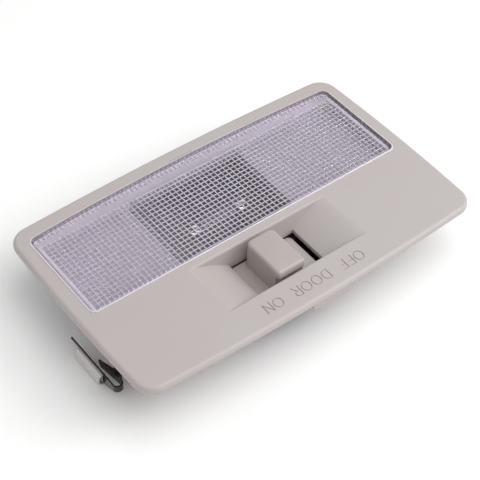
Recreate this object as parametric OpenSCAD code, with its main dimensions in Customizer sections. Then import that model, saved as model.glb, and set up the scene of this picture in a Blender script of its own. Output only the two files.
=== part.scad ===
// Car dome light with a prismatic lens and a three-position slide switch.
// Millimetres. The back of the lamp body lies on Z = 0, the face and the lens look along +Z,
// the long side lies along X and the switch is on the -Y side. Z = 0 is under the plate's middle.

/* [Face plate] */
// Length of the face plate
bezel_l = 153.2; // [150:0.1:170]
// Width of the face plate
bezel_w = 93; // [91:0.1:105]
// Corner radius of the face plate
bezel_corner_r = 7; // [4:0.5:10]
// How far the long sides bow outwards
bow_long = 2; // [0.5:0.1:3]
// How far the short sides bow outwards
bow_short = 1.2; // [0.4:0.1:1.8]
// Wall of the face
face_t = 1.9; // [1.6:0.1:2.2]
// Depth of the turned-down rim
rim_h = 2.6; // [2.4:0.1:4]
// Wall of the rim
rim_t = 2; // [1.6:0.1:2.4]
// Rounding between face and rim
edge_r = 1.7; // [0.8:0.1:1.8]
// Height of the face above the back of the body
face_z = 26; // [25:0.5:32]
// Width of the locating tab under the near edge
tab_l = 16.4; // [8:0.2:24]
// Place of the locating tab along the edge
tab_x = 6; // [-20:0.5:20]
// How far the locating tab reaches below the face
tab_h = 10.8; // [6:0.1:12]

/* [Lens] */
// Length of the lens
lens_l = 140.7; // [136:0.1:142]
// Width of the lens at its middle
lens_w = 45.2; // [44:0.1:46]
// How far the far edge of the lens bows outwards
lens_bow = 2.4; // [0.5:0.1:3]
// Corner radius of the lens
lens_corner_r = 3; // [2:0.1:4]
// Near edge of the lens, from the middle of the plate
lens_near_y = -5.1; // [-5.2:0.1:-4.4]
// Wall of the lens
lens_t = 2.2; // [1.6:0.1:2.6]
// How far the lens stands above the face
lens_proud = 0.6; // [0:0.1:1]
// Wall of the lens skirt
skirt_t = 1.4; // [1:0.1:1.6]
// Height of the lens from its top to the foot of its skirt
skirt_h = 5; // [4.6:0.1:6]
// Side of one prism
prism_pitch = 2; // [2:0.1:4]
// Height of one prism
prism_h = 0.4; // [0.3:0.1:1]
// Gap between the lens and its window
lens_gap = 0.25; // [0.15:0.05:0.4]
// Width of the notch for prising the lens out
notch_l = 10.5; // [6:0.5:16]

/* [Lens frame and reflector] */
// Wall of the frame round the lens
frame_t = 1.6; // [1.2:0.1:1.8]
// Depth of the frame below the face
frame_h = 8.4; // [8.2:0.1:9]
// Width of the ledge that carries the reflector
ledge_w = 1.5; // [1:0.1:1.8]
// Wall of the reflector
reflector_t = 1.3; // [1:0.1:1.6]
// Length of the reflector's opening
well_l = 52; // [44:1:54]
// Width of the lip that hangs from the reflector's ramps at their lower ends
well_w = 34; // [28:1:35]
// Depth of the ramps at their outer ends, below the face
ramp_outer_d = 6.6; // [6:0.1:8]
// Depth of the ramps at the opening, below the face
ramp_inner_d = 12; // [11:0.1:13]

/* [Switch recess] */
// Length of the recess
recess_l = 64; // [58:0.5:70]
// Width of the recess
recess_w = 23.6; // [23.4:0.1:24.2]
// Middle of the recess, from the middle of the plate
recess_y = -20.3; // [-20.8:0.1:-20.1]
// Depth of the recess
recess_d = 7; // [6:0.1:8]
// Length of the slot at its floor
slot_l = 30; // [29.4:0.1:33]
// How far the recess's far wall leans in
far_lean = 1.6; // [0.8:0.1:1.6]
// Rounding where the recess's far wall meets the face
far_edge_r = 1.2; // [0.2:0.1:1.3]
// How softly the recess's ramps run out into the face: 1 is straight
ramp_ease = 1.4; // [1:0.1:2]
// Wall of the recess
recess_t = 1.8; // [1.4:0.1:2]

/* [Switch] */
// Length of the knob along its travel
knob_l = 11.9; // [11:0.1:13.4]
// Width of the knob
knob_w = 18.9; // [17:0.1:19.2]
// How far the knob stands above the face
knob_proud = 3; // [1:0.1:5]
// Spread of the knob from top to root, each side
knob_draft = 0.4; // [0.1:0.1:0.6]
// Rounding of the knob's top edge
knob_edge_r = 1.1; // [0.5:0.1:2]
// Height of the lip that the knob's near face hangs over
lip_h = 3.4; // [2:0.1:5]
// How far the near face is set back under the lip
lip_d = 1.3; // [0.4:0.1:1.6]
// Wall of the knob
knob_t = 1.8; // [1.4:0.1:2.2]
// Length of the knob's foot plate
plate_l = 31.8; // [29:0.1:33]
// Thickness of the knob's foot plate
plate_t = 1.5; // [1:0.1:1.8]
// Travel from one switch position to the next
step = 2.5; // [2.4:0.1:3]
// Length of the slider
slider_l = 18; // [16:0.5:20]
// Diameter of the detent ball
ball_d = 2.4; // [2:0.1:2.6]
// Wire of the detent spring
spring_wire = 0.35; // [0.25:0.05:0.45]
// Turns of the detent spring
spring_turns = 5; // [3:1:8]

/* [Lamp body] */
// Half length of the lamp chamber
box_hx = 31.5; // [30.5:0.1:33]
// Wall of the lamp body
body_t = 1.8; // [1.6:0.1:2]
// Height of the switch chamber's underside above the back
switch_z = 8; // [7.4:0.1:8.4]
// Screw position along X, each side of the middle
lug_x = 26; // [25:0.1:28]
// Length of the plug socket
socket_l = 14; // [12:0.5:18]
// Width of the plug socket's mouth
socket_w = 15.2; // [13.4:0.2:18]
// Height of the plug socket's mouth
socket_h = 6.8; // [5:0.2:6.8]
// Spacing of the plug's blades
blade_pitch = 4.4; // [3.4:0.1:4.6]
// Length of the blades in the socket
blade_l = 8.5; // [5:0.5:8.5]

/* [Bulb and contacts] */
// Length of the bulb over its caps
bulb_l = 31; // [29:0.5:36]
// Diameter of the bulb's glass
bulb_d = 9.4; // [8:0.1:10]
// Diameter of the bulb's caps
cap_d = 7; // [6:0.1:7.6]
// Height of the bulb's axis above the back
bulb_z = 9; // [8:0.1:9.6]
// Thickness of the contact strips
strip_t = 0.6; // [0.4:0.05:0.7]
// Width of the contact strips
strip_w = 2.2; // [1.6:0.1:2.4]

/* [Spring clips and screws] */
// Thickness of the clips' sheet
clip_t = 0.6; // [0.4:0.05:0.8]
// Width of the clips' sheet
clip_w = 3; // [2.4:0.1:3.6]
// Length of the clips from the bend's middle to the far end
clip_l = 26.6; // [22:0.1:30]
// Height of the clips' outer leaf above the back
clip_z = 6; // [5.6:0.1:8]
// Height of the clips' feet above the back
foot_z = 14; // [12:0.1:15]
// Distance of the clips' outer leaf from the end of the face plate
clip_inset = 2.2; // [2.2:0.1:4]
// Gap between the clips' two leaves at the bend
clip_gap = 3; // [2.4:0.1:3.6]
// How far the clips' inner leaf leans to the outer one at its far end
clip_lean = 1.4; // [0.4:0.1:1.6]
// Diameter of the screws' shank
screw_d = 2.4; // [2:0.1:2.6]
// Diameter of the screws' head
head_d = 5.4; // [4.8:0.1:6]
// Height of the screws' head
head_h = 1.8; // [1.2:0.1:2.2]

/* [Hidden] */
round_fn = 64;
// Clearance between pieces that seat on each other, and between pieces that slide
fit = 0.2;
slide_gap = 0.3;
// Reach of a cut past the face that it opens
past = 1;

// Heights
face_under = face_z - face_t;
rim_z = face_z - rim_h;
lens_top = face_z + lens_proud;
lens_under = lens_top - lens_t;
skirt_z = lens_top - skirt_h;
bead_z = skirt_z + 1.4;
bead_h = 0.3;
frame_z = face_z - frame_h;
flange_top = skirt_z - fit;
flange_z = flange_top - reflector_t;
ledge_top = flange_z - fit;
ramp_hi = face_z - ramp_outer_d;
ramp_lo = face_z - ramp_inner_d;
box_top = ramp_lo - reflector_t - fit;
tub_z = face_z - recess_d - recess_t;
plate_top = tub_z - slide_gap;
plate_z = plate_top - plate_t;
chamber_top = tub_z - fit;
floor_z = switch_z + body_t - fit;

// Switch, across its travel
recess_near = recess_y - recess_w / 2;
recess_far = recess_y + recess_w / 2;
slot_far = recess_far - far_lean;
slot_y = (recess_near + slot_far) / 2;
plate_w = slot_far - recess_near - 2 * fit;
knob_x = -step;
knob_y = slot_y;
knob_top = face_z + knob_proud;
chamber_hx = plate_l / 2 + step + 1;
shelf_w = 1.8;
slider_w = plate_w - 2 * shelf_w;
slider_z = floor_z + strip_t + 0.8;

// Lamp chamber
lens_far_y = lens_near_y + lens_w;
box_near = lens_near_y - 0.9;
box_far = lens_far_y + 0.9;
well_y = (lens_near_y + lens_far_y - lens_bow) / 2 + 1.2;
strip_z = body_t;
pin_z = body_t + 4.1;
feed_y = well_y - 0.7;
pin_y = [feed_y - 2 * blade_pitch, feed_y - blade_pitch, feed_y];
leaf_x = bulb_l / 2 - 1;
glass_hx = bulb_l / 2 - 6;
cap_floor = bulb_l / 2 - 3.3;

// Screws and clips
lug_y = recess_y;
lug_t = 2.6;
boss_d = 6.4;
pilot_d = screw_d + 0.1;
body_pilot = 1.9 * screw_d;
clip_pilot = 2.6 * screw_d;
clip_x = bezel_l / 2 - clip_inset;
clip_bend_y = recess_y - 0.9;
clip_post = [bezel_l / 2 - 10.6, recess_y + 1.3];
post_d = 7;
catch_x = 20;

// Outline of a rounded rectangle: corner arcs, and points along the sides for bowing them
corner_n = 8;
side_n = 14;
function corner(cx, cy, r, turn) =
    [for (i = [0:corner_n]) [cx + r * cos(turn + 90 * i / corner_n), cy + r * sin(turn + 90 * i / corner_n)]];
function side(p, q, n) = n > 1 ? [for (i = [1:n - 1]) p + (q - p) * i / n] : [];
function rounded(hx, hy, r, n = 1) = concat(
    corner(hx - r, hy - r, r, 0), side([hx - r, hy], [r - hx, hy], n),
    corner(r - hx, hy - r, r, 90), side([-hx, hy - r], [-hx, r - hy], n),
    corner(r - hx, r - hy, r, 180), side([r - hx, -hy], [hx - r, -hy], n),
    corner(hx - r, r - hy, r, 270), side([hx, r - hy], [hx, hy - r], n));

// The face plate's outline, drawn in by an inset: each side is pushed out as a parabola
function bezel_outline(inset) =
    let (hx = bezel_l / 2 - bow_short, hy = bezel_w / 2 - bow_long)
    [for (p = rounded(hx - inset, hy - inset, bezel_corner_r - inset, side_n))
        [p.x * (1 + bow_short / hx * (1 - pow(p.y / hy, 2))), p.y * (1 + bow_long / hy * (1 - pow(p.x / hx, 2)))]];

// The lens's outline, grown by an amount: only the far side bows
function lens_outline(grow) =
    let (hx = lens_l / 2, hy = (lens_w - lens_bow) / 2)
    [for (p = rounded(hx + grow, hy + grow, max(lens_corner_r + grow, 0.4), side_n))
        [p.x, lens_near_y + hy + p.y + lens_bow * max(p.y / (hy + grow), 0) * (1 - pow(p.x / hx, 2))]];

// Solid between two or more rings of the same number of points, closed at both ends
module loft(rings) {
    n = len(rings[0]);
    points = [for (ring = rings) each ring];
    sides = [for (k = [0:len(rings) - 2], i = [0:n - 1])
        let (a = k * n + i, b = k * n + (i + 1) % n)
        each [[a, a + n, b + n], [a, b + n, b]]];
    bottom = [for (i = [0:n - 1]) i];
    top = [for (i = [n - 1:-1:0]) (len(rings) - 1) * n + i];
    polyhedron(points, concat(sides, [bottom, top]));
}

// Round wire swept along a path that winds about the Z axis: each ring starts from the side away from the axis
module wound_wire(path, d, sides_n) {
    last = len(path) - 1;
    rings = [for (k = [0:last])
        let (t = path[min(k + 1, last)] - path[max(k - 1, 0)], along = t / norm(t),
             out = [path[k].x, path[k].y, 0] / norm([path[k].x, path[k].y]),
             flat = out - along * (out * along), u = flat / norm(flat), v = cross(along, u))
        [for (i = [0:sides_n - 1]) path[k] + d / 2 * (u * cos(360 * i / sides_n) + v * sin(360 * i / sides_n))]];
    loft(rings);
}

module box(low, high) { translate(low) cube(high - low); }

module prism(points, z0, z1) { translate([0, 0, z0]) linear_extrude(z1 - z0) polygon(points); }

// Outline in X and Z carried along Y, and outline in Y and Z carried along X
module along_y(y0, y1) { translate([0, y1, 0]) rotate([90, 0, 0]) linear_extrude(y1 - y0) children(); }
module along_x(x0, x1) { translate([x0, 0, 0]) rotate([90, 0, 90]) linear_extrude(x1 - x0) children(); }

module screw(tip_z, under_head_z) {
    translate([0, 0, under_head_z - fit]) cylinder(h = tip_z - under_head_z, d = screw_d, $fn = round_fn);
    translate([0, 0, under_head_z - head_h]) rotate_extrude($fn = round_fn)
        polygon([[0, 0], [head_d * 0.3, 0], [head_d * 0.45, head_h * 0.25], [head_d / 2, head_h * 0.6],
                 [head_d / 2, head_h], [0, head_h]]);
}

// Face plate: a bowed shell with a turned-down rim, the lens frame, the switch recess and its bosses
module bezel() {
    color("#C2BAB8") difference() {
        union() {
            difference() {
                loft([for (ring = rim_rings()) [for (p = bezel_outline(ring[0])) [p.x, p.y, ring[1]]]]);
                prism(bezel_outline(rim_t), rim_z - past, face_under);
            }
            prism(lens_outline(lens_gap + frame_t), frame_z, face_z - edge_r);
            recess_form(recess_t, tub_z, face_under + fit);
            for (side = [-1, 1]) {
                translate([side * lug_x, lug_y, tub_z]) cylinder(h = face_under - tub_z, d = boss_d, $fn = round_fn);
                translate([side * clip_post.x, clip_post.y, foot_z + fit])
                    cylinder(h = face_z - 1 - foot_z - fit, d = post_d, $fn = round_fn);
                post_ribs(side);
                back_ribs(side);
                frame_catch(side);
            }
            locating_tab();
        }
        prism(lens_outline(lens_gap), ledge_top, face_z + past);
        prism(lens_outline(lens_gap - ledge_w), frame_z - past, face_z);
        box([-notch_l / 2, lens_far_y, face_z - 1.1], [notch_l / 2, lens_far_y + lens_gap + 0.7, face_z + past]);
        recess_form(0, tub_z - past, face_z + past);
        for (side = [-1, 1]) {
            translate([side * lug_x, lug_y, tub_z - past])
                cylinder(h = body_pilot + past, d = pilot_d, $fn = round_fn);
            translate([side * clip_post.x, clip_post.y, foot_z])
                cylinder(h = clip_pilot, d = pilot_d, $fn = round_fn);
        }
        bead_groove();
    }
}

// Inset and height of each ring from the foot of the rim, round the edge, to the face
function rim_rings() = concat([[0.1, rim_z]],
    [for (a = [0:15:90]) [edge_r * (1 - cos(a)), face_z - edge_r * (1 - sin(a))]]);

// Bow-tie recess grown by a wall: two scooped ramps down to the slot, a straight near wall and a leaning far wall
module recess_form(wall, z0, z1) {
    steps = 8;
    floor_at = face_z - recess_d;
    run_out = (recess_l - slot_l) / 2;
    right = [for (i = [0:steps]) let (t = i / steps)
        [slot_l / 2 + wall + run_out * t, floor_at - wall * 0.4 + recess_d * (1 - pow(1 - t, ramp_ease))]];
    left = [for (i = [steps:-1:0]) [-right[i].x, right[i].y]];
    low = wall > 0 ? floor_at - wall : z0;
    high = face_z + past;
    intersection() {
        along_y(recess_near - wall, recess_far + wall + far_edge_r) polygon(concat(
            [[-right[0].x, low], [right[0].x, low]], right,
            [[right[steps].x, high], [-right[steps].x, high]], left));
        along_x(-recess_l, recess_l) polygon(concat(
            [[recess_near - wall, z0], [slot_far + wall, z0], [slot_far + wall, floor_at]],
            far_edge(wall, z1), [[recess_near - wall, z1]]));
    }
}

// Top of the recess's far wall in Y and Z: rounded over to the face, or straight up where it is a wall's outside
function far_edge(wall, top) =
    let (lean = far_lean / recess_d, y = recess_far - lean * far_edge_r)
    wall > 0 ? [[slot_far + wall + lean * (top - face_z + recess_d), top]]
    : concat([for (a = [0:22.5:90]) [y + far_edge_r * (1 - cos(a)), face_z - far_edge_r * (1 - sin(a))]],
             [[y + far_edge_r, top]]);

// Ribs that brace a clip post to the face
module post_ribs(side) {
    x = side * clip_post.x;
    low = face_z - 5.5;
    top = face_under + fit;
    box([x - 0.6, clip_post.y - 8, low], [x + 0.6, clip_post.y + 8, top]);
    box([min(x, x - side * 9), clip_post.y - 0.6, low], [max(x, x - side * 9), clip_post.y + 0.6, top]);
}

// Stiffening ribs across the back of the face, between the near rim and the lens frame
module back_ribs(side) {
    for (x = [42, 54])
        box([side * x - 0.5, rim_t - bezel_w / 2, rim_z - 0.6], [side * x + 0.5, lens_near_y, face_under + fit]);
}

// Wedge on the outside of the lens frame, which the lamp body's arm snaps over
module frame_catch(side) {
    y = lens_far_y + lens_gap + frame_t - 0.6;
    translate([side * catch_x, 0, 0]) along_x(-2.5, 2.5)
        polygon([[y, frame_z + 0.2], [y + 1.1, frame_z + 2], [y + 1.1, frame_z + 2.6], [y, frame_z + 2.6]]);
}

// Tab that drops from the near rim, with one lower corner cut away
module locating_tab() {
    y = 3.1 - bezel_w / 2;
    along_y(y, y + 1.8) polygon([
        [tab_x - tab_l / 2, face_under + fit], [tab_x - tab_l / 2, face_z - tab_h + 1.8],
        [tab_x - tab_l / 2 + 2, face_z - tab_h], [tab_x + tab_l / 2, face_z - tab_h],
        [tab_x + tab_l / 2, face_under + fit]]);
}

// Clear cover in one moulding: smooth outside, a field of small pyramids inside, and a skirt with a snap bead.
// Each ring has one point for each prism corner on the field's edge, so ring joins ring all the way in.
module lens() {
    nx = 2 * floor((lens_l / 2 - skirt_t - 0.4) / prism_pitch);
    ny = floor((lens_w - lens_bow - 2 * skirt_t - 0.4) / prism_pitch);
    x0 = -nx * prism_pitch / 2;
    y0 = lens_near_y + skirt_t + 0.4;
    base = lens_under - 0.2;
    edge = concat([for (i = [0:nx - 1]) [i, 0]], [for (j = [0:ny - 1]) [nx, j]],
                  [for (i = [0:nx - 1]) [nx - i, ny]], [for (j = [0:ny - 1]) [0, ny - j]]);
    n = len(edge);
    rings = [for (r = [[-0.4, lens_top], [0, lens_top - 0.4], [0, bead_z + 0.6], [bead_h, bead_z], [0, bead_z - 0.6],
                       [0, skirt_z], [-skirt_t, skirt_z], [-skirt_t, base]])
        [for (p = edge) lens_ring_point(p, nx, ny, r)]];
    skin = len(rings) * n;
    row = nx + 1;
    grid = [for (j = [0:ny], i = [0:nx]) [x0 + i * prism_pitch, y0 + j * prism_pitch, base]];
    tips = [for (j = [0:ny - 1], i = [0:nx - 1])
        [x0 + (i + 0.5) * prism_pitch, y0 + (j + 0.5) * prism_pitch, base - prism_h]];
    sides = [for (k = [0:len(rings) - 2], i = [0:n - 1])
        [k * n + i, k * n + (i + 1) % n, (k + 1) * n + (i + 1) % n, (k + 1) * n + i]];
    shore = [for (i = [0:n - 1])
        let (a = edge[i], b = edge[(i + 1) % n])
        [skin - n + i, skin - n + (i + 1) % n, skin + b.y * row + b.x, skin + a.y * row + a.x]];
    facets = [for (j = [0:ny - 1], i = [0:nx - 1])
        let (a = skin + j * row + i, tip = skin + row * (ny + 1) + j * nx + i)
        each [[a, a + 1, tip], [a + 1, a + 1 + row, tip], [a + 1 + row, a + row, tip], [a + row, a, tip]]];
    color("#A59EAA") polyhedron(concat([for (r = rings) each r], grid, tips),
        concat([[for (i = [n - 1:-1:0]) i]], sides, shore, facets));
}

// Point of a lens ring that belongs to a corner of the prism field's edge
function lens_ring_point(p, nx, ny, ring) =
    let (hx = lens_l / 2 + ring[0], hy = (lens_w - lens_bow) / 2 + ring[0], r = max(lens_corner_r + ring[0], 0.4),
         q = [(2 * p.x / nx - 1) * hx, (2 * p.y / ny - 1) * hy],
         over = [max(abs(q.x) - hx + r, 0), max(abs(q.y) - hy + r, 0)],
         s = over.x > 0 && over.y > 0 ? r / norm(over) : 1,
         c = [sign(q.x) * (abs(q.x) - over.x * (1 - s)), sign(q.y) * (abs(q.y) - over.y * (1 - s))])
    [c.x, lens_near_y + (lens_w - lens_bow) / 2 + c.y
        + lens_bow * max(c.y / hy, 0) * (1 - pow(c.x / (lens_l / 2), 2)), ring[1]];

// Groove in the frame for the lens's snap bead
module bead_groove() { prism(lens_outline(lens_gap + bead_h), bead_z - 0.8, bead_z + 0.8); }

// Height of the ramps above the back at a distance from the middle
function ramp_z(x, hx) = ramp_lo + (ramp_hi - ramp_lo) * pow(max(abs(x) - well_l / 2, 0) / (hx - well_l / 2), 1.5);

// Region above the ramps, lowered by a drop, in X and Z
module above_ramps(drop, top) {
    hx = lens_l / 2;
    steps = 12;
    right = [for (i = [0:steps - 1]) well_l / 2 + (hx - well_l / 2) * i / (steps - 1)];
    xs = concat([for (i = [steps - 1:-1:0]) -right[i]], [0], right);
    polygon(concat([for (x = xs) [x, ramp_z(x, hx) - drop]], [[hx, top], [-hx, top]]));
}

// Pale tray under the lens: two curved ramps down to an opening over the bulb, joined by a flange round the top.
// Beside the opening the tray has no long walls: the lamp body's own stand there.
module reflector() {
    outer = lens_gap - ledge_w - fit;
    inner = outer - reflector_t;
    color("#D8D4DA") difference() {
        union() {
            difference() {
                intersection() {
                    prism(lens_outline(outer), box_top - past, flange_top);
                    along_y(lens_near_y, lens_far_y) above_ramps(reflector_t, flange_top);
                }
                intersection() {
                    prism(lens_outline(inner), box_top - past, flange_top + past);
                    along_y(lens_near_y, lens_far_y) above_ramps(0, flange_top + past);
                }
            }
            difference() {
                prism(lens_outline(lens_gap - fit), flange_z, flange_top);
                prism(lens_outline(inner), flange_z - past, flange_top + past);
            }
            box([-well_l / 2 - reflector_t, well_y - well_w / 2 - reflector_t, ramp_lo - 3],
                [well_l / 2 + reflector_t, well_y + well_w / 2 + reflector_t, ramp_lo]);
        }
        box([-well_l / 2, lens_near_y, ramp_lo - 3 - past], [well_l / 2, lens_far_y, ramp_hi]);
    }
}

// Rear moulding: the bulb's chamber, the switch chamber, the plug socket, two lugs and two snap arms
module lamp_body() {
    box_mid = (box_near + box_far) / 2;
    box_hy = (box_far - box_near) / 2;
    color("#4A4A4E") difference() {
        union() {
            translate([0, box_mid, 0]) linear_extrude(box_top) polygon(rounded(box_hx, box_hy, 2.5));
            switch_shell();
            for (side = [-1, 1]) {
                body_lug(side);
                snap_arm(side);
            }
            socket_shell();
            for (y = [box_near, box_far - body_t])
                box([-well_l / 2 - 1.5, y, box_top - 0.1], [well_l / 2 + 1.5, y + body_t, frame_z - fit]);
        }
        translate([0, box_mid, body_t]) linear_extrude(box_top)
            polygon(rounded(box_hx - body_t, box_hy - body_t, 1));
        switch_hollow();
        socket_hollow();
        strip_ways();
    }
}

module switch_shell() {
    hx = chamber_hx + body_t;
    near = recess_near - body_t;
    box([-hx, near, switch_z], [hx, box_near + 1, box_top]);
    box([-hx, near, box_top - 0.1], [hx, slot_far + body_t, chamber_top]);
}

module switch_hollow() {
    box([-chamber_hx, slot_y - slider_w / 2 - slide_gap, floor_z],
        [chamber_hx, slot_y + slider_w / 2 + slide_gap, chamber_top + past]);
    box([-chamber_hx, slot_y - plate_w / 2 - slide_gap, plate_z - slide_gap],
        [chamber_hx, slot_y + plate_w / 2 + slide_gap, chamber_top + past]);
    for (k = [-1:1]) translate([k * step, slot_y - slider_w / 2 - slide_gap, 0])
        translate([0, 0, floor_z + 1.5]) linear_extrude(plate_z - floor_z)
            polygon([[-0.9, 0.1], [0, -0.8], [0.9, 0.1]]);
}

module body_lug(side) {
    difference() {
        hull() {
            translate([side * lug_x, lug_y, chamber_top - lug_t])
                cylinder(h = lug_t, d = boss_d + 1.2, $fn = round_fn);
            box([side * (chamber_hx + 1) - 0.5, lug_y - 5, chamber_top - lug_t],
                [side * (chamber_hx + 1) + 0.5, lug_y + 5, chamber_top]);
        }
        translate([side * lug_x, lug_y, chamber_top - lug_t - past])
            cylinder(h = lug_t + 2 * past, d = screw_d + 0.6, $fn = round_fn);
    }
}

// Arm from the far wall up the outside of the lens frame, with a window for the wedge
module snap_arm(side) {
    inner = lens_far_y + lens_gap + frame_t + 0.15;
    difference() {
        union() {
            box([side * catch_x - 4, inner, box_top - 7], [side * catch_x + 4, inner + 1.5, frame_z + 4.2]);
            box([side * catch_x - 4, box_far - 1, box_top - 7], [side * catch_x + 4, inner + 0.1, box_top - 4]);
        }
        box([side * catch_x - 2.8, inner - past, frame_z - 0.1], [side * catch_x + 2.8, inner + 3, frame_z + 2.9]);
    }
}

module socket_shell() {
    wall = 1.6;
    y = pin_y[1];
    z = pin_z + strip_t / 2;
    difference() {
        box([box_hx - 0.5, y - socket_w / 2 - wall, z - socket_h / 2 - wall],
            [box_hx + socket_l, y + socket_w / 2 + wall, z + socket_h / 2 + wall]);
        box([box_hx + socket_l - 7, y - 2.5, z + socket_h / 2 - past],
            [box_hx + socket_l - 3, y + 2.5, z + socket_h / 2 + wall + past]);
    }
}

module socket_hollow() {
    z = pin_z + strip_t / 2;
    box([box_hx, pin_y[1] - socket_w / 2, z - socket_h / 2],
        [box_hx + socket_l + past, pin_y[1] + socket_w / 2, z + socket_h / 2]);
}

// Slots through the walls for the contact strips
module strip_ways() {
    gap = 0.1;
    for (y = pin_y)
        box([box_hx - body_t - past, y - strip_w / 2 - gap, pin_z - gap],
            [box_hx + past, y + strip_w / 2 + gap, pin_z + strip_t + gap]);
    for (x = way_x)
        box([x - strip_w / 2 - gap, slot_y, floor_z - gap],
            [x + strip_w / 2 + gap, box_near + body_t + past, floor_z + strip_t + gap]);
}

// Places along X where the common, ground and door strips pass between the chambers
way_x = [-3 * step - 2, -step - 0.8, 0];
// Rows of the fixed contacts in the switch chamber, across the travel
common_row = slot_y - 5;
pad_row = slot_y + 5;

// Flat run on the floor of the lamp chamber, from one corner to another, as wide as a strip
module run(x0, y0, x1, y1, z) {
    h = strip_w / 2;
    box([min(x0, x1) - h, min(y0, y1) - h, z], [max(x0, x1) + h, max(y0, y1) + h, z + strip_t]);
}

// From the switch chamber's floor, through the wall and down to the lamp chamber's floor
module step_down(x) {
    y = box_near + body_t + 0.1;
    run(x, pad_row, x, y - strip_w / 2 + strip_t, floor_z);
    box([x - strip_w / 2, y, strip_z], [x + strip_w / 2, y + strip_t, floor_z + strip_t]);
}

// Bend up from the lamp chamber's floor and out through the wall as a blade
module blade(y, from_x) {
    x = box_hx - body_t - 2;
    run(from_x, y, x - strip_w / 2, y, strip_z);
    box([x - strip_t, y - strip_w / 2, strip_z], [x, y + strip_w / 2, pin_z + strip_t]);
    box([x - strip_t, y - strip_w / 2, pin_z], [box_hx + blade_l, y + strip_w / 2, pin_z + strip_t]);
}

// Upright leaf with a hole for the tip of the bulb's cap, and a flared top that guides the bulb in
module bulb_leaf(side) {
    difference() {
        union() {
            translate([side * leaf_x, 0, 0])
                box([-strip_t / 2, well_y - 3.5, strip_z], [strip_t / 2, well_y + 3.5, bulb_z + 3]);
            translate([side * leaf_x, well_y, bulb_z + 2.9]) rotate([0, side * 28, 0])
                translate([-strip_t / 2, -3.5, 0]) cube([strip_t, 7, 1.8]);
        }
        translate([side * leaf_x - 2, well_y, bulb_z]) rotate([0, 90, 0]) cylinder(h = 4, d = 2.6, $fn = round_fn);
    }
}

// Live strip: the bulb's right holder and the last blade
module feed_terminal() {
    color("#B8A268") union() {
        bulb_leaf(1);
        box([leaf_x - strip_t / 2, well_y - 3.5, strip_z], [leaf_x + 4, well_y + 3.5, strip_z + strip_t]);
        blade(feed_y, leaf_x + 3);
    }
}

// Strip from the bulb's left holder to the rail that the moving contact always touches
module common_terminal() {
    x = way_x[0];
    color("#B8A268") union() {
        bulb_leaf(-1);
        box([-leaf_x - 4, well_y - 3.5, strip_z], [-leaf_x + strip_t / 2, well_y + 3.5, strip_z + strip_t]);
        run(-leaf_x - 2, well_y, x, well_y, strip_z);
        run(x, box_near + body_t + strip_w / 2 + 0.1, x, well_y, strip_z);
        step_down(x);
        run(x, common_row, x, pad_row, floor_z);
        run(x, common_row, 2 * step, common_row, floor_z);
    }
}

// Strip that the switch joins to the bulb in its middle position
module door_contact() {
    x = way_x[2];
    color("#B8A268") union() {
        run(x, pad_row - 0.4, x, pad_row + 0.4, floor_z);
        step_down(x);
        run(x, box_near + body_t + strip_w / 2 + 0.1, x, pin_y[0], strip_z);
        blade(pin_y[0], x);
    }
}

// Strip that the switch joins to the bulb in its on position
module ground_contact() {
    x = way_x[1];
    color("#B8A268") union() {
        run(x, pad_row - 0.4, x, pad_row + 0.4, floor_z);
        step_down(x);
        run(x, box_near + body_t + strip_w / 2 + 0.1, x, pin_y[1], strip_z);
        blade(pin_y[1], x);
    }
}

module on_bulb_axis() { translate([0, well_y, bulb_z]) rotate([0, 90, 0]) children(); }

// Sealed glass tube that narrows into the caps
module bulb_glass() {
    neck = cap_d / 2 - 0.5;
    wall = 0.5;
    color("#E8EEF2") on_bulb_axis() rotate_extrude($fn = round_fn) polygon([
        [neck - wall, -glass_hx - 1.5], [neck, -glass_hx - 1.5], [neck, -glass_hx], [bulb_d / 2, 2 - glass_hx],
        [bulb_d / 2, glass_hx - 2], [neck, glass_hx], [neck, glass_hx + 1.5], [neck - wall, glass_hx + 1.5],
        [neck - wall, glass_hx], [bulb_d / 2 - wall, glass_hx - 2],
        [bulb_d / 2 - wall, 2 - glass_hx], [neck - wall, -glass_hx]]);
}

// Brass cap: a cup over the end of the glass, closing to a tip
module bulb_cap() {
    cup = glass_hx + 0.1;
    shoulder = bulb_l / 2 - 2.4;
    tip = bulb_l / 2;
    bore = cap_d / 2 - 0.4;
    rotate_extrude($fn = round_fn) polygon([
        [bore, cup], [cap_d / 2, cup], [cap_d / 2, shoulder - 0.6], [1.2, leaf_x - strip_t / 2 - 0.1],
        [1.2, tip], [0, tip], [0, cap_floor], [bore, cap_floor]]);
}

module bulb_cap_left() { color("#C9C4B4") on_bulb_axis() mirror([0, 0, 1]) bulb_cap(); }

module bulb_cap_right() { color("#C9C4B4") on_bulb_axis() bulb_cap(); }

// One wire from cap to cap: two straight leads run into a coiled middle
module bulb_filament() {
    turns = 6;
    per_turn = 10;
    coil_hx = 4;
    coil_r = 0.6;
    n = turns * per_turn;
    coil = [for (i = [0:n]) let (a = 360 * i / per_turn)
        [coil_r * cos(a), coil_r * sin(a), -coil_hx + 2 * coil_hx * i / n]];
    color("#8A8C90") on_bulb_axis()
        wound_wire(concat([[coil_r, 0, -cap_floor], [coil_r, 0, -coil_hx - 0.6]], coil,
            [[coil_r, 0, coil_hx + 0.6], [coil_r, 0, cap_floor]]), 0.25, 6);
}

// Ring of the knob, drawn in by an inset, at a height
function knob_ring(inset, z) =
    let (hx = knob_l / 2 - inset, hy = knob_w / 2 - inset)
    [for (p = rounded(hx, hy, 1.6 - min(inset, 0.9))) [knob_x + p.x, knob_y + p.y, z]];

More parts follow.
